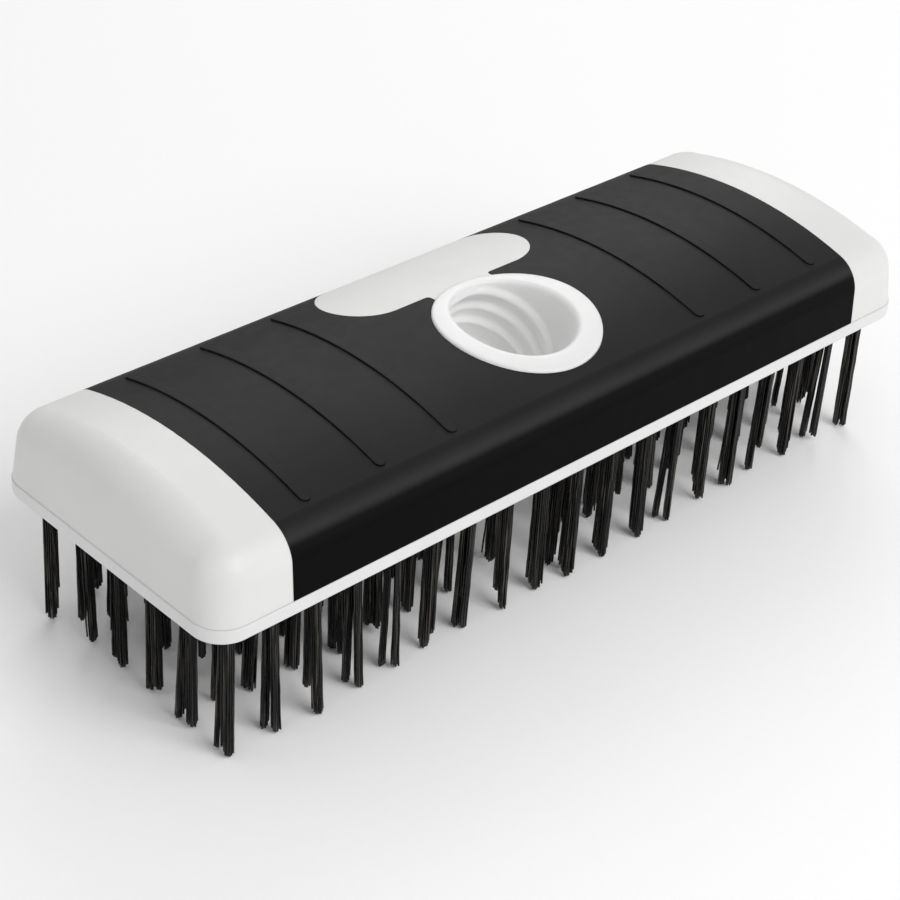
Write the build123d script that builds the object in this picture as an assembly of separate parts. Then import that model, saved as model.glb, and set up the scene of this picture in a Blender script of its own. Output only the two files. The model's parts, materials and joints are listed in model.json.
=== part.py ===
from build123d import *
import math
import os

# Pool wall brush: a crowned block with a soft grip, a tilted threaded pole socket and six rows of tufts.
# Millimetres. Origin at the middle of the brush on the plane of the bristle tips, +X along the block, +Z up.
# The pole socket leans towards -Y, the front.

# Block
LENGTH = 203.0
WIDTH = 70.3
OVERALL_HEIGHT = 54.4
TRIM = 31.9
RIM_HEIGHT = 3.3
LEDGE = 0.2
CORNER_RADIUS = 7.0
TOP_CORNER_RADIUS = 9.6
SIDE_DRAFT = 3.7
CROWN_RADIUS = 102.3
EDGE_RADIUS = 7.6
RIM_EDGE_RADIUS = 0.6

# Shell and grip
GRIP_HALF_LENGTH = 83.0
GRIP_THICKNESS = 1.4
SHELL_WALL = 1.8
RIB_X = (36.6, 55.35, 74.1)
RIB_WIDTH = 2.6
RIB_LENGTH = 56.4
RIB_HEIGHT = 0.45
RIB_EDGE_RADIUS = 0.2
LAND_LENGTH = 56.2
LAND_WIDTH = 21.0
LAND_Y = 20.8
NECK_WIDTH = 17.2
NECK_TIP_RADIUS = 0.9

# Pole socket
TILT = 28.0
MOUTH_Y = -7.2
FLANGE_Y = -8.1
FLANGE_RADIUS = 18.3
FLANGE_SEAT_Z = 48.2
FLANGE_RAISE = 0.5
FLANGE_EDGE_RADIUS = 0.4
MOUTH_EDGE_RADIUS = 0.8
ENTRY_RADIUS = 12.9
ENTRY_DEPTH = 7.4
LEAD_IN = 0.8
THREAD_MINOR_RADIUS = 11.8
THREAD_MAJOR_RADIUS = 12.7
THREAD_PITCH = 5.2
THREAD_TURNS = 2.25
GROOVE_SHARE = 0.68
SOCKET_DEPTH = 25.6
SOCKET_FLOOR = 1.6
BARREL_RADIUS = 14.6
SEAT_WALL = 2.2

# Tufted bed
BED_DEPTH = 8.0
BED_GAP = 0.4
BED_CORNER_RADIUS = 5.5
TUFT_PITCH = 10.43
ROW_PITCH = 11.5
END_TUFTS = (8.25, 9)
FRONT_TUFTS = (-1.12, 1.12, 1.85)
FORWARD_TUFT_Y = 23.6
TUFT_RADIUS = 1.65
HOLE_RADIUS = 1.75
HOLE_DEPTH = 6.5
ANCHOR_LENGTH = 4.4
ANCHOR_THICKNESS = 0.4
ANCHOR_HEIGHT = 1.6
FOLD = 0.7
SLOT_GAP = 0.03

# Screws
SCREW_X = (3.5 * TUFT_PITCH, 7.5 * TUFT_PITCH)
SCREW_RADIUS = 1.5
SCREW_LENGTH = 15.5
HEAD_RADIUS = 2.8
HEAD_HEIGHT = 1.9
HEAD_RECESS = 0.4
DRIVE_WIDTH = 0.8
DRIVE_SPAN = 3.2
DRIVE_DEPTH = 1.1
BOSS_RADIUS = 3.8
FIT_GAP = 0.1

# Worked out from the sizes above
RIM_TOP = TRIM + RIM_HEIGHT
BED_TOP = TRIM + BED_DEPTH
BLOCK_HEIGHT = OVERALL_HEIGHT - RIM_TOP
FAR = 4 * LENGTH
LEAN = math.radians(TILT)
MOUTH_Z = OVERALL_HEIGHT - CROWN_RADIUS + math.sqrt(CROWN_RADIUS**2 - MOUTH_Y**2)
SOCKET_AXIS = (0, -math.sin(LEAN), math.cos(LEAN))
SOCKET = Plane(origin=(0, MOUTH_Y, MOUTH_Z), x_dir=(1, 0, 0), z_dir=SOCKET_AXIS)
BARREL_DEPTH = SOCKET_DEPTH + SOCKET_FLOOR
DOWN = (Align.CENTER, Align.CENTER, Align.MAX)
UP = (Align.CENTER, Align.CENTER, Align.MIN)


def above(z):
    """Everything higher than z."""
    return Pos(0, 0, z) * Box(FAR, FAR, FAR, align=UP)


def crowned_block(inset):
    """The drafted block with its crowned, rounded top, every wall moved inwards by inset."""
    lean_in = BLOCK_HEIGHT * math.tan(math.radians(SIDE_DRAFT))
    bottom_length = LENGTH - 2 * LEDGE - 2 * inset
    bottom_width = WIDTH - 2 * LEDGE - 2 * inset
    bottom_corner = CORNER_RADIUS - LEDGE - min(inset, CORNER_RADIUS / 2)
    bottom = RectangleRounded(bottom_length, bottom_width, bottom_corner)
    top_corner = TOP_CORNER_RADIUS - inset
    top = RectangleRounded(bottom_length - 2 * lean_in, bottom_width - 2 * lean_in, top_corner)
    walls = loft([Pos(0, 0, RIM_TOP) * bottom, Pos(0, 0, OVERALL_HEIGHT + 1) * top], ruled=True)
    crown = Pos(0, 0, OVERALL_HEIGHT - CROWN_RADIUS) * Rot(0, 90, 0) * Cylinder(CROWN_RADIUS - inset, FAR)
    block = walls & crown
    top_face = block.faces().sort_by(Axis.Z)[-1]
    return fillet(top_face.edges(), EDGE_RADIUS - inset)


def top_land_outline():
    """The plain land behind the socket, its neck and the socket's round seat, as one outline."""
    pill = Pos(0, LAND_Y) * SlotOverall(LAND_LENGTH, LAND_WIDTH)
    seat = Pos(0, FLANGE_Y) * Circle(FLANGE_RADIUS)
    neck = Pos(0, (LAND_Y + FLANGE_Y) / 2) * Rectangle(NECK_WIDTH, LAND_Y - FLANGE_Y)
    outline = pill + seat + neck
    tips = [v for v in outline.vertices() if abs(abs(v.X) - NECK_WIDTH / 2) < FIT_GAP]
    return fillet(tips, NECK_TIP_RADIUS)


def socket_rod(radius, depth_from, depth_to):
    """A rod on the socket's axis between two depths below the mouth."""
    return SOCKET * Pos(0, 0, -depth_from) * Cylinder(radius, depth_to - depth_from, align=DOWN)


def tuft_rows():
    """Tuft centres, row by row from the front, leaving the socket's barrel clear."""
    row_y = [ROW_PITCH * (i + 0.5) for i in range(3)]
    both = (-1, 1)
    outer_x = [i * TUFT_PITCH for i in range(-9, 10)]
    inner_x = [x for x in outer_x if abs(x) > 1.5 * TUFT_PITCH]
    ends_x = [side * i * TUFT_PITCH for side in both for i in END_TUFTS]
    middle_x = ends_x + [side * (i + 0.5) * TUFT_PITCH for side in both for i in range(2, 8)]
    front_x = middle_x + [i * TUFT_PITCH for i in FRONT_TUFTS]
    back_x = middle_x + [side * 1.5 * TUFT_PITCH for side in both]
    rows = [
        [(x, -row_y[2]) for x in outer_x],
        [(x, -row_y[1]) for x in sorted(front_x)],
        [(x, -row_y[0]) for x in inner_x],
        [(x, row_y[0]) for x in inner_x],
        [(x, row_y[1]) for x in sorted(back_x)],
        [(x, row_y[2]) for x in outer_x],
    ]
    rows[1].append((0, -FORWARD_TUFT_Y))
    return rows


def at_each(points, z, shape):
    """Copies of a shape at every point, at height z."""
    return [Pos(x, y, z) * shape for x, y in points]


def anchor(play):
    """A flat wire staple, or with play the slot that takes it."""
    return Box(ANCHOR_LENGTH + play, ANCHOR_THICKNESS + play, ANCHOR_HEIGHT + play, align=DOWN)


def base_plate(rows):
    """The white rim and the thicker bed behind it, with blind tuft holes, anchor slots and screw holes."""
    rim = Pos(0, 0, TRIM) * extrude(RectangleRounded(LENGTH, WIDTH, CORNER_RADIUS), RIM_HEIGHT)
    rim = fillet(rim.faces().sort_by(Axis.Z)[0].edges(), RIM_EDGE_RADIUS)
    rim = fillet(rim.faces().sort_by(Axis.Z)[-1].edges(), LEDGE / 2)
    margin = 2 * (LEDGE + GRIP_THICKNESS + SHELL_WALL + BED_GAP)
    bed_plan = RectangleRounded(LENGTH - margin, WIDTH - margin, BED_CORNER_RADIUS)
    plate = rim + Pos(0, 0, TRIM) * extrude(bed_plan, BED_DEPTH)
    plate -= socket_rod(BARREL_RADIUS + 2 * FIT_GAP, 0, FAR / 4)
    points = [point for row in rows for point in row]
    hole = Cylinder(HOLE_RADIUS, HOLE_DEPTH, align=UP)
    hole += Pos(0, 0, HOLE_DEPTH - FOLD) * anchor(2 * SLOT_GAP)
    plate -= at_each(points, TRIM, hole)
    counterbore = Cylinder(HEAD_RADIUS + 2 * FIT_GAP, HEAD_RECESS + HEAD_HEIGHT, align=UP)
    clearance = Cylinder(SCREW_RADIUS + 2 * FIT_GAP, BED_DEPTH, align=UP)
    plate -= at_each(screw_points(), TRIM, counterbore + clearance)
    return plate


def tuft_row(points):
    """One row of tufts, each folded over its anchor at the bottom of its hole."""
    reach = TRIM + HOLE_DEPTH - FIT_GAP
    tuft = Cylinder(TUFT_RADIUS, reach, align=UP)
    tuft -= Pos(0, 0, TRIM + HOLE_DEPTH - FOLD) * anchor(2 * SLOT_GAP)
    return Compound(children=at_each(points, 0, tuft))


def anchor_row(points):
    """The flat wire staples that hold one row of tufts."""
    return Compound(children=at_each(points, TRIM + HOLE_DEPTH - FOLD - SLOT_GAP, anchor(0)))


def screw_points():
    """Screws on the centre line, between the two inner rows of tufts."""
    return [(sign * x, 0) for sign in (-1, 1) for x in SCREW_X]


def screws():
    """Self-tapping screws, heads down in the plate's counterbores."""
    head = Cylinder(HEAD_RADIUS, HEAD_HEIGHT, align=UP)
    head = fillet(head.edges().sort_by(Axis.Z)[0], HEAD_HEIGHT / 2)
    arm = Box(DRIVE_SPAN, DRIVE_WIDTH, DRIVE_DEPTH, align=UP)
    head -= arm + Rot(0, 0, 90) * arm
    shank = Cylinder(SCREW_RADIUS, SCREW_LENGTH - SCREW_RADIUS, align=UP)
    tip = Cone(SCREW_RADIUS, SCREW_RADIUS / 5, SCREW_RADIUS, align=UP)
    screw = head + shank + Pos(0, 0, SCREW_LENGTH - SCREW_RADIUS) * tip
    return Compound(children=at_each(screw_points(), TRIM + HEAD_RECESS, screw))


def grip_zone(outline):
    """The space that the soft grip fills, between the caps and outside the shell's core."""
    band = Box(2 * GRIP_HALF_LENGTH, FAR, FAR)
    land = extrude(outline, FAR)
    return band - crowned_block(GRIP_THICKNESS) - land


def top_shell(outer, zone):
    """The white moulding: end caps, core under the grip, land, socket seat and screw bosses."""
    cavity = crowned_block(GRIP_THICKNESS + SHELL_WALL)
    seat = Pos(0, FLANGE_Y) * Circle(FLANGE_RADIUS + SEAT_WALL)
    seat_ring = Pos(0, 0, FLANGE_SEAT_Z - SEAT_WALL) * extrude(seat, BLOCK_HEIGHT)
    bosses = at_each(screw_points(), BED_TOP + FIT_GAP, Cylinder(BOSS_RADIUS, BLOCK_HEIGHT, align=UP))
    shell = outer - zone - (cavity - seat_ring - bosses)
    shell -= Pos(0, 0, FLANGE_SEAT_Z) * extrude(Pos(0, FLANGE_Y) * Circle(FLANGE_RADIUS), BLOCK_HEIGHT)
    shell -= socket_rod(BARREL_RADIUS + FIT_GAP, -FAR / 4, FAR / 4)
    pilot = Cylinder(SCREW_RADIUS, SCREW_LENGTH + HEAD_RECESS + FIT_GAP, align=UP)
    shell -= at_each(screw_points(), TRIM, pilot)
    return shell


def grip_overmould(outer, zone):
    """The black skin over the middle of the block, with three raised ribs on each side of the socket."""
    grip = outer & zone
    rib_top = crowned_block(-RIB_HEIGHT) - crowned_block(GRIP_THICKNESS / 2)
    strip = Rot(0, 0, 90) * SlotOverall(RIB_LENGTH, RIB_WIDTH)
    for x in RIB_X:
        for sign in (-1, 1):
            rib = rib_top & extrude(Pos(sign * x, 0) * strip, FAR)
            grip += fillet(rib.faces().sort_by(Axis.Z)[-1].edges(), RIB_EDGE_RADIUS)
    return grip


def thread_groove():
    """The coarse rounded right-hand groove of the pole thread, on the socket's axis."""
    depth = THREAD_MAJOR_RADIUS - THREAD_MINOR_RADIUS
    half_width = GROOVE_SHARE * THREAD_PITCH / 2
    wave = []
    for i in range(-4, 5):
        radius = THREAD_MINOR_RADIUS + depth * (1 + math.cos(math.pi * i / 4)) / 2
        wave.append((radius, 0, half_width * i / 4))
    inside = THREAD_MINOR_RADIUS - depth / 4
    outline = Spline(*wave) + Polyline(wave[-1], (inside, 0, half_width), (inside, 0, -half_width), wave[0])
    path = Helix(THREAD_PITCH, THREAD_TURNS * THREAD_PITCH, THREAD_MINOR_RADIUS)
    groove = sweep(make_face(outline), path=path, is_frenet=True)
    start = ENTRY_DEPTH + LEAD_IN + THREAD_TURNS * THREAD_PITCH + half_width
    return SOCKET * Pos(0, 0, -start) * groove


def socket_insert():
    """The flanged, threaded pole socket. Its closed barrel passes through the bed, between the tufts."""
    flange_plan = Pos(0, FLANGE_Y) * Circle(FLANGE_RADIUS - FIT_GAP)
    flange = crowned_block(-FLANGE_RAISE) & Pos(0, 0, FLANGE_SEAT_Z) * extrude(flange_plan, BLOCK_HEIGHT)
    flange = fillet(flange.faces().sort_by(Axis.Z)[-1].edges(), FLANGE_EDGE_RADIUS)
    flange -= socket_rod(ENTRY_RADIUS, -ENTRY_DEPTH, FAR / 4)
    mouth = flange.faces().sort_by(Axis.Z)[-1].inner_wires()[0].edges()
    flange = fillet(mouth, MOUTH_EDGE_RADIUS)
    barrel = socket_rod(BARREL_RADIUS, 0, BARREL_DEPTH) - above(FLANGE_SEAT_Z)
    barrel -= socket_rod(ENTRY_RADIUS, -ENTRY_DEPTH, ENTRY_DEPTH)
    lead = SOCKET * Pos(0, 0, -ENTRY_DEPTH) * Cone(THREAD_MINOR_RADIUS, ENTRY_RADIUS, LEAD_IN, align=DOWN)
    bore = lead + socket_rod(THREAD_MINOR_RADIUS, ENTRY_DEPTH, SOCKET_DEPTH) + thread_groove()
    return flange + (barrel - bore)


rows = tuft_rows()
outer_block = crowned_block(0)
soft_zone = grip_zone(top_land_outline())
nodes = {
    "top_shell": top_shell(outer_block, soft_zone),
    "grip_overmould": grip_overmould(outer_block, soft_zone),
    "socket_insert": socket_insert(),
    "base_plate": base_plate(rows),
    "assembly_screws": screws(),
}
for number, points in enumerate(rows, start=1):
    nodes[f"tuft_row_{number}"] = tuft_row(points)
    nodes[f"anchor_row_{number}"] = anchor_row(points)

os.makedirs("parts", exist_ok=True)
for name, shape in nodes.items():
    export_step(shape, f"parts/{name}.step")
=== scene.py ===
import bmesh
import bpy
import json
import math
import random
from mathutils import Matrix, Vector


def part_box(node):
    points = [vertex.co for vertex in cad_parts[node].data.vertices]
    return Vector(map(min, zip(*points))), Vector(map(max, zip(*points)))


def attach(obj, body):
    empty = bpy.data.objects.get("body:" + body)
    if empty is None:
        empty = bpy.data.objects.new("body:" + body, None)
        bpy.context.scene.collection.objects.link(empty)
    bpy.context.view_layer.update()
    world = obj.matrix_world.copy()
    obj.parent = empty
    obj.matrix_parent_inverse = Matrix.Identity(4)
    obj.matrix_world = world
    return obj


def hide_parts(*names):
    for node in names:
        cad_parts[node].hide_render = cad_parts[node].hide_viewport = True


# Pool wall brush. The shell, grip, plate, screws and anchors are the CAD nodes with their materials.
# The pole socket is rebuilt with a softer mouth and a rounder thread. Each row of plain CAD tufts is
# replaced by a row of tufts of separate filaments.

MM = 0.001

# Camera: where it stands as seen from the origin, and how far the origin sits off its axis
CAMERA_YAW = 44.976
CAMERA_RISE = 33.537
CAMERA_ROLL = 3.564
CAMERA_DISTANCE = 506.68 * MM
CAMERA_SHIFT_RIGHT = -5.883 * MM
CAMERA_SHIFT_UP = 13.667 * MM
LENS_MM = 89.77
SENSOR_MM = 36

# Pole socket, with the sizes of the CAD node that it stands for
OVERALL_HEIGHT = 54.4 * MM
CROWN_RADIUS = 102.3 * MM
FLANGE_RAISE = 0.5 * MM
FLANGE_EDGE = 0.4 * MM
FLANGE_SEAT_Z = 48.2 * MM
FLANGE_EDGE_RINGS = 4
FLANGE_RINGS = 6
MOUTH_Y = -7.2 * MM
MOUTH_ROUNDING = (1.3 * MM, 1.6 * MM)
MOUTH_RINGS = 8
MOUTH_SEARCH_STEPS = 8
ENTRY_RADIUS = 12.9 * MM
THREAD_PITCH = 5.2 * MM
THREAD_TURNS = 2.9
THREAD_START = math.radians(150)
THREAD_START_DEPTH = 7.4 * MM
RIDGE_HALF_WIDTH = 1.9 * MM
RIDGE_FADE = math.radians(50)
BORE_TAPER = 0.02
SOCKET_DEPTH = 25.6 * MM
SOCKET_FLOOR = 1.6 * MM
FLOOR_FILLET = 2 * MM
FILLET_RINGS = 4
BARREL_RADIUS = 14.6 * MM
BARREL_EDGE = 0.8 * MM
SOCKET_SIDES = 192
BORE_RINGS = 96

# Painted sheen on the grip, against how far a face is turned up: a painted highlight band along the shoulder
# and most painted sheen on the crown
PAINTED_SHEEN_RAMP = ((0.1, 0), (0.45, 0.12), (0.67, 1.0), (0.92, 0.55), (0.965, 0.72), (1, 1.0))

# Filaments
FILAMENT_RADIUS = 0.215 * MM
FILAMENT_PITCH = 0.47 * MM
PACKED_RADIUS = 1.5 * MM
FILAMENT_SIDES = 6
FILAMENT_RINGS = 9
ROOT_DEPTH = 4 * MM
TUFT_GAP = 3 * MM
TIP_TAPER = 0.62
TIP_LENGTH = 0.12 * MM
TUFT_LEAN = 0.014
HALF_LEAN = 0.018
HALF_GAP = 0.25 * MM
FILAMENT_LEAN = 0.0035
WAVE = 0.05 * MM
WAVE_LENGTH = 9 * MM
CHEVRON = 2.6 * MM
SHORT_HALF = (1.0 * MM, 6.0 * MM)
SHORT_HALF_SHARE = 0.5
SPLIT_TURN = 0.5
STRAY_SHARE = 0.05
STRAY_LEAN = 5
STRAY_SHORT = 8 * MM
ROUGH_CUT = 0.35 * MM
SEED = 7

# Stage
FLOOR_HALF = 3.0
WORLD_STRENGTH = 0.6
LIGHT_DISTANCE = 1.5
FRONT_LIGHT = {"bearing": -85, "rise": 41, "size": 1.0, "power": 12.5}
BACK_LIGHT = {"bearing": 45, "rise": 33, "size": 0.8, "power": 5}

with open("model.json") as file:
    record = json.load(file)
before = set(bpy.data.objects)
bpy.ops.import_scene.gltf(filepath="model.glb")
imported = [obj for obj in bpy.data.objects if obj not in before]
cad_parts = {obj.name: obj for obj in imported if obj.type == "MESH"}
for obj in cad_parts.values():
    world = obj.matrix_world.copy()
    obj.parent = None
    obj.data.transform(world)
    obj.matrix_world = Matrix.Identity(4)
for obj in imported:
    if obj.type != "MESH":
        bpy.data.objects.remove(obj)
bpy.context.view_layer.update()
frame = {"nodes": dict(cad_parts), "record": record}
record = frame["record"]
nodes = frame["nodes"]


# Materials

def principled(name):
    """A new material, its node tree and its shader."""
    material = bpy.data.materials.new(name)
    material.use_nodes = True
    tree = material.node_tree
    return material, tree, tree.nodes["Principled BSDF"]


def add_node(tree, kind, inputs, **settings):
    """A node with its settings, and its inputs set to values or linked from sockets."""
    node = tree.nodes.new(kind)
    for key, value in settings.items():
        setattr(node, key, value)
    for key, value in inputs.items():
        if isinstance(value, bpy.types.NodeSocket):
            tree.links.new(value, node.inputs[key])
        else:
            node.inputs[key].default_value = value
    return node


def noise(tree, grain, detail=2.0, stretch=(1, 1, 1)):
    """Noise in the object's own space, its grain about so many metres across, stretched along an axis."""
    place = add_node(tree, "ShaderNodeTexCoord", {})
    scale = [1 / (grain * s) for s in stretch]
    mapping = add_node(tree, "ShaderNodeMapping", {"Vector": place.outputs["Object"], "Scale": scale})
    inputs = {"Vector": mapping.outputs["Vector"], "Scale": 1.0, "Detail": detail}
    return add_node(tree, "ShaderNodeTexNoise", inputs).outputs["Fac"]


def spread(tree, value, low, high, start=0.3, end=0.7):
    """A noise value mapped from its usual span to a wanted one."""
    inputs = {"Value": value, "From Min": start, "From Max": end, "To Min": low, "To Max": high}
    return add_node(tree, "ShaderNodeMapRange", inputs).outputs["Result"]


def tint(tree, value, first, second):
    """A colour between two, chosen by a value. The first may be a colour or a colour socket."""
    node = add_node(tree, "ShaderNodeMix", {}, data_type="RGBA")
    tree.links.new(value, node.inputs["Factor"])
    if isinstance(first, bpy.types.NodeSocket):
        tree.links.new(first, node.inputs["A"])
    else:
        node.inputs["A"].default_value = (*first, 1)
    node.inputs["B"].default_value = (*second, 1)
    return node.outputs["Result"]


def rounded_normal(tree, radius):
    """The surface normal with its sharp edges rounded off."""
    return add_node(tree, "ShaderNodeBevel", {"Radius": radius}, samples=4).outputs["Normal"]


def edge_mask(tree, normal):
    """High on sharp edges, where the rounded normal leaves the real one, broken up by noise."""
    geometry = add_node(tree, "ShaderNodeNewGeometry", {})
    pair = {0: normal, 1: geometry.outputs["Normal"]}
    dot = add_node(tree, "ShaderNodeVectorMath", pair, operation="DOT_PRODUCT")
    edge = spread(tree, dot.outputs["Value"], 1, 0, start=0.8, end=0.985)
    patch = spread(tree, noise(tree, 3 * MM, 4), 0, 1, start=0.42, end=0.62)
    return add_node(tree, "ShaderNodeMath", {0: edge, 1: patch}, operation="MULTIPLY").outputs["Value"]


def painted_sheen(tree):
    """Painted sheen by how far a face is turned up: none on steep walls, a painted highlight band along the
    shoulder and most on the crown.
    """
    geometry = add_node(tree, "ShaderNodeNewGeometry", {})
    parts = add_node(tree, "ShaderNodeSeparateXYZ", {"Vector": geometry.outputs["Normal"]})
    ramp = add_node(tree, "ShaderNodeValToRGB", {"Fac": parts.outputs["Z"]})
    ramp.color_ramp.interpolation = "EASE"
    for place, _ in PAINTED_SHEEN_RAMP[1:-1]:
        ramp.color_ramp.elements.new(place)
    for element, (place, value) in zip(ramp.color_ramp.elements, PAINTED_SHEEN_RAMP):
        element.position = place
        element.color = (value, value, value, 1)
    return ramp.outputs["Color"]


def painted_hollow_glow(tree, reach):
    """From 0 in the open to 1 deep in a hollow, for a painted glow: hollows painted lighter, standing in for
    light there.
    """
    open_sky = add_node(tree, "ShaderNodeAmbientOcclusion", {"Distance": reach}, samples=8)
    return spread(tree, open_sky.outputs["AO"], 1, 0, start=0.5, end=0.95)


def bump(tree, shader, layers, normal=None):
    """A stack of bump layers, each a height value with its depth in metres, into the shader's normal."""
    for height, depth in layers:
        inputs = {"Height": height, "Strength": 1.0, "Distance": depth}
        if normal is not None:
            inputs["Normal"] = normal
        normal = add_node(tree, "ShaderNodeBump", inputs).outputs["Normal"]
    tree.links.new(normal, shader.inputs["Normal"])


def moulded_white(name, bright, shade, gloss, painted_glow=None):
    """Satin white polypropylene: a faint mottle, fine moulded grain and slightly burnished edges.

    The glow colour is painted into hollows, lighter, as a painted glow standing in for light there.
    """
    material, tree, shader = principled(name)
    normal = rounded_normal(tree, 0.35 * MM)
    cloud = spread(tree, noise(tree, 14 * MM, 3), 0, 1)
    colour = tint(tree, cloud, shade, bright)
    if painted_glow is not None:
        # Painted glow: hollows painted lighter, standing in for light in the bore.
        colour = tint(tree, painted_hollow_glow(tree, 20 * MM), colour, painted_glow)
    worn = edge_mask(tree, normal)
    tree.links.new(tint(tree, worn, colour, bright), shader.inputs["Base Color"])
    speck = noise(tree, 1.6 * MM, 4)
    tree.links.new(spread(tree, speck, gloss - 0.05, gloss + 0.06), shader.inputs["Roughness"])
    shader.inputs["Specular IOR Level"].default_value = 0.45
    weight, reach = (0.12, 1.2 * MM) if painted_glow is None else (0.5, 4 * MM)
    shader.inputs["Subsurface Weight"].default_value = weight
    shader.inputs["Subsurface Radius"].default_value = (1.0, 0.97, 0.92)
    shader.inputs["Subsurface Scale"].default_value = reach
    layers = [(noise(tree, 5 * MM, 2), 0.03 * MM), (noise(tree, 0.35 * MM, 3), 0.006 * MM)]
    bump(tree, shader, layers, normal)
    return material


def soft_black():
    """Matt black elastomer: a fine eroded grain, painted sheen on top with a painted highlight band along
    the shoulder, and ribs polished along their edges.
    """
    material, tree, shader = principled("soft_black")
    normal = rounded_normal(tree, 0.3 * MM)
    cloud = spread(tree, noise(tree, 22 * MM, 4), 0.85, 1)
    # The lighter colour is painted sheen: a painted highlight band on the shoulder and painted sheen on the
    # crown, varied by a faint random tone.
    painted_sheen_amount = add_node(tree, "ShaderNodeMath", {0: cloud, 1: painted_sheen(tree)}, operation="MULTIPLY")
    colour = tint(tree, painted_sheen_amount.outputs["Value"], (0.0022, 0.0024, 0.0028), (0.031, 0.031, 0.032))
    worn = edge_mask(tree, normal)
    tree.links.new(tint(tree, worn, colour, (0.045, 0.045, 0.046)), shader.inputs["Base Color"])
    scuff = noise(tree, 3 * MM, 6)
    tree.links.new(spread(tree, scuff, 0.42, 0.5), shader.inputs["Roughness"])
    shader.inputs["Specular IOR Level"].default_value = 0.03
    layers = [(noise(tree, 9 * MM, 2), 0.012 * MM), (noise(tree, 0.16 * MM, 4), 0.008 * MM)]
    bump(tree, shader, layers, normal)
    return material


def drawn_nylon():
    """Near-black monofilament, each filament its own shade of brown-black, the lighter ones standing in as
    painted highlight streaks, with fine draw lines along it.
    """
    material, tree, shader = principled("drawn_nylon")
    along = (1, 1, 60)
    # Tone varies from filament to filament; the lighter brown filaments are painted highlight streaks.
    tone_and_painted_streaks = spread(tree, noise(tree, 0.42 * MM, 1, along), 0, 1, start=0.56, end=0.68)
    colour = tint(tree, tone_and_painted_streaks, (0.0012, 0.0011, 0.001), (0.058, 0.052, 0.044))
    tree.links.new(colour, shader.inputs["Base Color"])
    lines = noise(tree, 0.12 * MM, 3, (1, 1, 30))
    tree.links.new(spread(tree, lines, 0.2, 0.36), shader.inputs["Roughness"])
    shader.inputs["Specular IOR Level"].default_value = 0.22
    bump(tree, shader, [(lines, 0.01 * MM)])
    return material


def stainless(name, grain, stretch):
    """Stainless steel with fine drawing or turning marks."""
    material, tree, shader = principled(name)
    marks = noise(tree, grain, 4, stretch)
    tree.links.new(tint(tree, marks, (0.52, 0.52, 0.53), (0.66, 0.66, 0.65)), shader.inputs["Base Color"])
    tree.links.new(spread(tree, marks, 0.22, 0.42), shader.inputs["Roughness"])
    shader.inputs["Metallic"].default_value = 1.0
    bump(tree, shader, [(marks, 0.01 * MM)])
    return material


def studio_paper():
    """The pale floor, with a faint tooth."""
    material, tree, shader = principled("studio_paper")
    tooth = noise(tree, 2 * MM, 3)
    tree.links.new(tint(tree, tooth, (0.94, 0.94, 0.94), (0.96, 0.96, 0.96)), shader.inputs["Base Color"])
    tree.links.new(spread(tree, tooth, 0.8, 0.9), shader.inputs["Roughness"])
    shader.inputs["Specular IOR Level"].default_value = 0.2
    return material


def finish_cad_nodes():
    """Gives every CAD node that stays visible its material."""
    cap_white = moulded_white("cap_white", (0.7, 0.7, 0.69), (0.675, 0.675, 0.665), 0.42)
    plate_white = moulded_white("plate_white", (0.71, 0.71, 0.71), (0.68, 0.68, 0.68), 0.44)
    finishes = {
        "white_shell": cap_white,
        "white_plate": plate_white,
        "black_grip": soft_black(),
        "screw_steel": stainless("screw_stainless", 0.2 * MM, (1, 1, 3)),
        "anchor_wire": stainless("wire_stainless", 0.1 * MM, (8, 1, 1)),
    }
    for part in record["subparts"]:
        finish = finishes.get(part["material_slot"])
        if finish is not None:
            nodes[part["node"]].data.materials.clear()
            nodes[part["node"]].data.materials.append(finish)


# Pole socket

def crown_point(x, y):
    """A point on the flange's crowned top."""
    radius = CROWN_RADIUS + FLANGE_RAISE
    return Vector((x, y, OVERALL_HEIGHT - CROWN_RADIUS + math.sqrt(radius**2 - y**2)))


def smooth(value):
    """A soft step from 0 to 1."""
    value = min(max(value, 0), 1)
    return value * value * (3 - 2 * value)


def ridge(depth, turn):
    """How far the thread stands into the bore, from 0 to 1. It deepens clockwise from its start."""
    height = 0
    for lap in range(-1, math.ceil(THREAD_TURNS) + 1):
        along = (THREAD_START - turn) % math.tau + lap * math.tau
        fade = smooth(along / RIDGE_FADE) * smooth((THREAD_TURNS * math.tau - along) / RIDGE_FADE)
        off = (depth - THREAD_START_DEPTH - THREAD_PITCH * along / math.tau) / RIDGE_HALF_WIDTH
        if abs(off) < 1:
            height = max(height, fade * (1 + math.cos(math.pi * off)) / 2)
    return height


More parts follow.
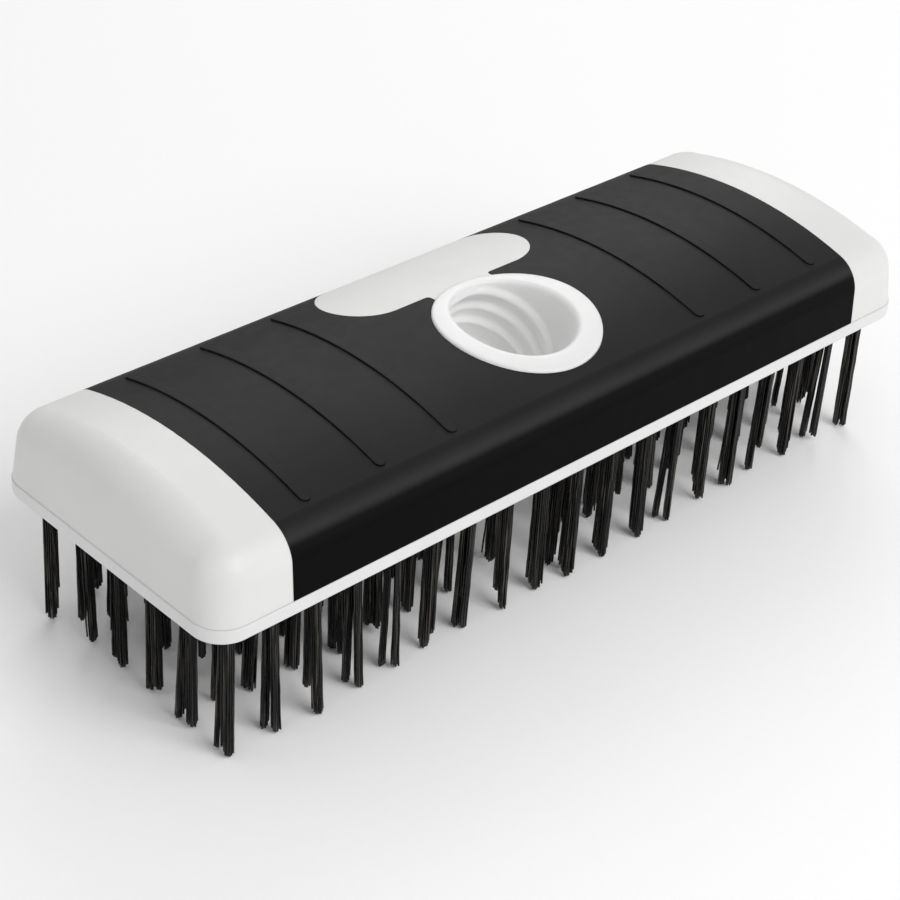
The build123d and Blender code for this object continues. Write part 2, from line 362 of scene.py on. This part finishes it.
def socket_column(turn, axis, side, up, mouth, crest_radius, flange):
    """The socket's outline at one angle: up the barrel, over the flange and down the threaded bore."""
    centre_y, flange_radius = flange
    outward = side * math.cos(turn) + up * math.sin(turn)

    def on_bore(radius, depth):
        return mouth + outward * radius - axis * depth

    def on_flange(radius, z=None):
        place = crown_point(radius * math.cos(turn), centre_y + radius * math.sin(turn))
        return place if z is None else Vector((place.x, place.y, z))

    bottom = SOCKET_DEPTH + SOCKET_FLOOR
    column = [on_bore(0, bottom), on_bore(BARREL_RADIUS - BARREL_EDGE, bottom)]
    column.append(on_bore(BARREL_RADIUS, bottom - BARREL_EDGE))
    foot = on_bore(BARREL_RADIUS, 0)
    seat_depth = (foot.z - FLANGE_SEAT_Z) / axis.z
    column.append(on_bore(BARREL_RADIUS, seat_depth))
    column.append(on_flange(flange_radius, FLANGE_SEAT_Z))
    lip = on_flange(flange_radius)
    for step in range(FLANGE_EDGE_RINGS):
        angle = math.pi / 2 * step / (FLANGE_EDGE_RINGS - 1)
        inset = FLANGE_EDGE * (1 - math.cos(angle))
        drop = FLANGE_EDGE * (1 - math.sin(angle))
        edge = on_flange(flange_radius - inset)
        column.append(Vector((edge.x, edge.y, edge.z - drop)))
    edge_depth = 0
    for _ in range(MOUTH_SEARCH_STEPS):
        corner = on_bore(ENTRY_RADIUS, edge_depth)
        edge_depth -= (crown_point(corner.x, corner.y).z - corner.z) / axis.z
    corner = on_bore(ENTRY_RADIUS, edge_depth)
    outer = lip - corner
    outer.z = 0
    start = corner + outer.normalized() * MOUTH_ROUNDING[0]
    start = crown_point(start.x, start.y)
    rim = column[-1]
    for step in range(1, FLANGE_RINGS):
        place = rim.lerp(start, step / FLANGE_RINGS)
        column.append(crown_point(place.x, place.y))
    end = on_bore(ENTRY_RADIUS, edge_depth + MOUTH_ROUNDING[1])
    for step in range(MOUTH_RINGS + 1):
        share = step / MOUTH_RINGS
        column.append(start.lerp(corner, share).lerp(corner.lerp(end, share), share))
    top = edge_depth + MOUTH_ROUNDING[1]
    floor_start = SOCKET_DEPTH - FLOOR_FILLET
    for step in range(1, BORE_RINGS + 1):
        depth = top + (floor_start - top) * step / BORE_RINGS
        wall = ENTRY_RADIUS - BORE_TAPER * max(0, depth - THREAD_START_DEPTH)
        column.append(on_bore(wall - (ENTRY_RADIUS - crest_radius) * ridge(depth, turn), depth))
    last_radius = ENTRY_RADIUS - BORE_TAPER * (floor_start - THREAD_START_DEPTH)
    for step in range(1, FILLET_RINGS + 1):
        angle = math.pi / 2 * step / FILLET_RINGS
        radius = last_radius - FLOOR_FILLET * (1 - math.cos(angle))
        column.append(on_bore(radius, floor_start + FLOOR_FILLET * math.sin(angle)))
    column.append(on_bore(0, SOCKET_DEPTH))
    return column


def pole_socket(finish):
    """The flanged socket with its soft mouth and rounded thread, in place of the CAD one."""
    mount = next(m for m in record["mounts"] if m["name"] == "pole_socket")
    axis = Vector(mount["axis"])
    side = Vector((1, 0, 0))
    up = axis.cross(side)
    mouth = Vector((0, MOUTH_Y, OVERALL_HEIGHT - CROWN_RADIUS + math.sqrt(CROWN_RADIUS**2 - MOUTH_Y**2)))
    low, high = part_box("socket_insert")
    flange = (low[1] + high[0], high[0])
    crest_radius = mount["dims"]["r_mm"] * MM
    columns = []
    for i in range(SOCKET_SIDES):
        turn = math.tau * i / SOCKET_SIDES
        columns.append(socket_column(turn, axis, side, up, mouth, crest_radius, flange))
    mesh = bpy.data.meshes.new("pole_socket")
    build = bmesh.new()
    first = build.verts.new(columns[0][0])
    last = build.verts.new(columns[0][-1])
    rings = [[build.verts.new(point) for point in column[1:-1]] for column in columns]
    for i, near in enumerate(rings):
        far = rings[(i + 1) % SOCKET_SIDES]
        build.faces.new((first, far[0], near[0]))
        build.faces.new((last, near[-1], far[-1]))
        for k in range(len(near) - 1):
            build.faces.new((near[k], far[k], far[k + 1], near[k + 1]))
    bmesh.ops.recalc_face_normals(build, faces=build.faces)
    for face in build.faces:
        face.smooth = True
    build.to_mesh(mesh)
    build.free()
    mesh.materials.append(finish)
    socket = bpy.data.objects.new("pole_socket", mesh)
    bpy.context.collection.objects.link(socket)
    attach(socket, "root")
    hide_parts("socket_insert")


# Filaments

def tuft_places(node):
    """The middle of each tuft of a CAD row. Tufts of one row stand clear of each other along X."""
    points = sorted((v.co.x, v.co.y) for v in node.data.vertices)
    tufts = [[points[0]]]
    for point in points[1:]:
        if point[0] - tufts[-1][-1][0] > TUFT_GAP:
            tufts.append([])
        tufts[-1].append(point)
    places = []
    for tuft in tufts:
        across = [p[0] for p in tuft]
        along = [p[1] for p in tuft]
        places.append(Vector(((min(across) + max(across)) / 2, (min(along) + max(along)) / 2)))
    return places


def packed_places():
    """Filament centres packed side by side in a round hole."""
    count = int(PACKED_RADIUS / FILAMENT_PITCH) + 2
    places = []
    for i in range(-count, count + 1):
        for j in range(-count, count + 1):
            place = Vector((i + j / 2, j * math.sqrt(3) / 2)) * FILAMENT_PITCH
            if place.length <= PACKED_RADIUS:
                places.append(place)
    return places


def add_filament(points, faces, foot, mouth_z, tip_z, sway):
    """A tube from inside the hole down to its cut tip. sway gives its sideways shift at each depth."""
    reach = mouth_z - tip_z - TIP_LENGTH
    levels = [(-ROOT_DEPTH, 1.0)]
    levels += [(reach * i / FILAMENT_RINGS, 1.0) for i in range(FILAMENT_RINGS + 1)]
    levels.append((reach + TIP_LENGTH, TIP_TAPER))
    start = len(points)
    for depth, taper in levels:
        middle = foot + sway(max(depth, 0))
        for side in range(FILAMENT_SIDES):
            turn = math.tau * side / FILAMENT_SIDES
            radius = FILAMENT_RADIUS * taper
            rim = middle + Vector((math.cos(turn), math.sin(turn))) * radius
            points.append((rim.x, rim.y, mouth_z - depth))
    for ring in range(len(levels) - 1):
        for side in range(FILAMENT_SIDES):
            a = start + ring * FILAMENT_SIDES + side
            b = start + ring * FILAMENT_SIDES + (side + 1) % FILAMENT_SIDES
            faces.append((a, a + FILAMENT_SIDES, b + FILAMENT_SIDES, b))
    last = start + (len(levels) - 1) * FILAMENT_SIDES
    faces.append([start + side for side in range(FILAMENT_SIDES)])
    faces.append([last + FILAMENT_SIDES - 1 - side for side in range(FILAMENT_SIDES)])


def add_tuft(points, faces, middle, mouth_z, chance):
    """One tuft: two halves either side of the anchor, each with its own lean and cut, and a few strays."""
    split = chance.gauss(0, SPLIT_TURN)
    across = Vector((-math.sin(split), math.cos(split)))
    tuft_lean = Vector((chance.gauss(0, TUFT_LEAN), chance.gauss(0, TUFT_LEAN)))
    parting = max(0, chance.gauss(HALF_LEAN / 2, HALF_LEAN))
    shorter = chance.choice((-1, 1))
    shortfall = chance.uniform(*SHORT_HALF) if chance.random() < SHORT_HALF_SHARE else 0
    for place in packed_places():
        half = 1 if place.dot(across) >= 0 else -1
        centre = across * half * PACKED_RADIUS / 2
        from_centre = (place - centre).length / PACKED_RADIUS
        place = place + across * half * HALF_GAP * (1 - abs(place.dot(across)) / PACKED_RADIUS)
        lean = tuft_lean + across * half * parting
        own = Vector((chance.gauss(0, FILAMENT_LEAN), chance.gauss(0, FILAMENT_LEAN)))
        cut = chance.uniform(0, ROUGH_CUT) + CHEVRON * from_centre**2
        if half == shorter:
            cut += shortfall
        if chance.random() < STRAY_SHARE:
            own *= STRAY_LEAN
            cut += chance.uniform(0, STRAY_SHORT)
        phase = chance.uniform(0, math.tau)
        wave = Vector((math.cos(phase), math.sin(phase))) * WAVE

        def sway(depth):
            bend = own * depth * depth / mouth_z
            ripple = wave * math.sin(math.tau * depth / WAVE_LENGTH + phase) * min(depth / WAVE_LENGTH, 1)
            return lean * depth + bend + ripple

        add_filament(points, faces, middle + place, mouth_z, cut, sway)


def filament_row(node_name, number, finish):
    """A row of tufts in place of a CAD row."""
    chance = random.Random(SEED * 100 + number)
    mouth_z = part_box("base_plate")[0][2]
    points = []
    faces = []
    for middle in tuft_places(nodes[node_name]):
        add_tuft(points, faces, middle, mouth_z, chance)
    mesh = bpy.data.meshes.new(f"filaments_{number}")
    mesh.from_pydata(points, [], faces)
    mesh.polygons.foreach_set("use_smooth", [len(face) == 4 for face in faces])
    mesh.materials.append(finish)
    mesh.update()
    row = bpy.data.objects.new(f"filaments_{number}", mesh)
    bpy.context.collection.objects.link(row)
    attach(row, "root")
    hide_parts(node_name)


# Stage

def studio_floor():
    """A wide pale sheet under the bristle tips."""
    corners = [(x * FLOOR_HALF, y * FLOOR_HALF, 0) for x, y in ((-1, -1), (1, -1), (1, 1), (-1, 1))]
    mesh = bpy.data.meshes.new("floor")
    mesh.from_pydata(corners, [], [(0, 1, 2, 3)])
    mesh.materials.append(studio_paper())
    floor = bpy.data.objects.new("floor", mesh)
    bpy.context.collection.objects.link(floor)


def softbox(name, bearing, rise, size, power):
    """A square area light aimed at the brush. Bearing 0 is the +X side and 90 is the back."""
    lamp = bpy.data.lights.new(name, "AREA")
    lamp.shape = "SQUARE"
    lamp.size = size
    lamp.energy = power
    holder = bpy.data.objects.new(name, lamp)
    bpy.context.collection.objects.link(holder)
    turn = math.radians(bearing)
    lift = math.radians(rise)
    away = Vector((math.cos(turn) * math.cos(lift), math.sin(turn) * math.cos(lift), math.sin(lift)))
    holder.location = away * LIGHT_DISTANCE
    holder.rotation_mode = "QUATERNION"
    holder.rotation_quaternion = away.to_track_quat("Z", "Y")


def studio_light():
    """Even white surroundings, a large light from the front and a smaller one from behind."""
    world = bpy.data.worlds.new("studio")
    world.use_nodes = True
    world.node_tree.nodes["Background"].inputs["Color"].default_value = (1, 1, 1, 1)
    world.node_tree.nodes["Background"].inputs["Strength"].default_value = WORLD_STRENGTH
    bpy.context.scene.world = world
    softbox("front_light", **FRONT_LIGHT)
    softbox("back_light", **BACK_LIGHT)
    bpy.context.scene.view_settings.view_transform = "Standard"


def camera():
    """The camera, looking past the origin by its shift."""
    yaw, rise, roll = (math.radians(angle) for angle in (CAMERA_YAW, CAMERA_RISE, CAMERA_ROLL))
    back = Vector((-math.sin(yaw) * math.cos(rise), -math.cos(yaw) * math.cos(rise), math.sin(rise)))
    level = Vector((math.cos(yaw), -math.sin(yaw), 0))
    upright = back.cross(level)
    right = level * math.cos(roll) + upright * math.sin(roll)
    up = upright * math.cos(roll) - level * math.sin(roll)
    data = bpy.data.cameras.new("camera")
    data.lens = LENS_MM
    data.sensor_width = SENSOR_MM
    holder = bpy.data.objects.new("camera", data)
    bpy.context.collection.objects.link(holder)
    place = right * CAMERA_SHIFT_RIGHT + up * CAMERA_SHIFT_UP + back * CAMERA_DISTANCE
    turned = Matrix((right, up, back)).transposed().to_4x4()
    holder.matrix_world = Matrix.Translation(place) @ turned
    bpy.context.scene.camera = holder


camera()
studio_light()
studio_floor()
finish_cad_nodes()
# The last colour is a painted glow, painted lighter into the bore's hollows.
pole_socket(moulded_white("socket_white", (0.76, 0.76, 0.76), (0.75, 0.75, 0.745), 0.36, (0.98, 0.98, 0.97)))
nylon = drawn_nylon()
bristle_nodes = [part["node"] for part in record["subparts"] if part["material_slot"] == "bristle"]
for row_number, bristle_node in enumerate(sorted(bristle_nodes), start=1):
    filament_row(bristle_node, row_number, nylon)
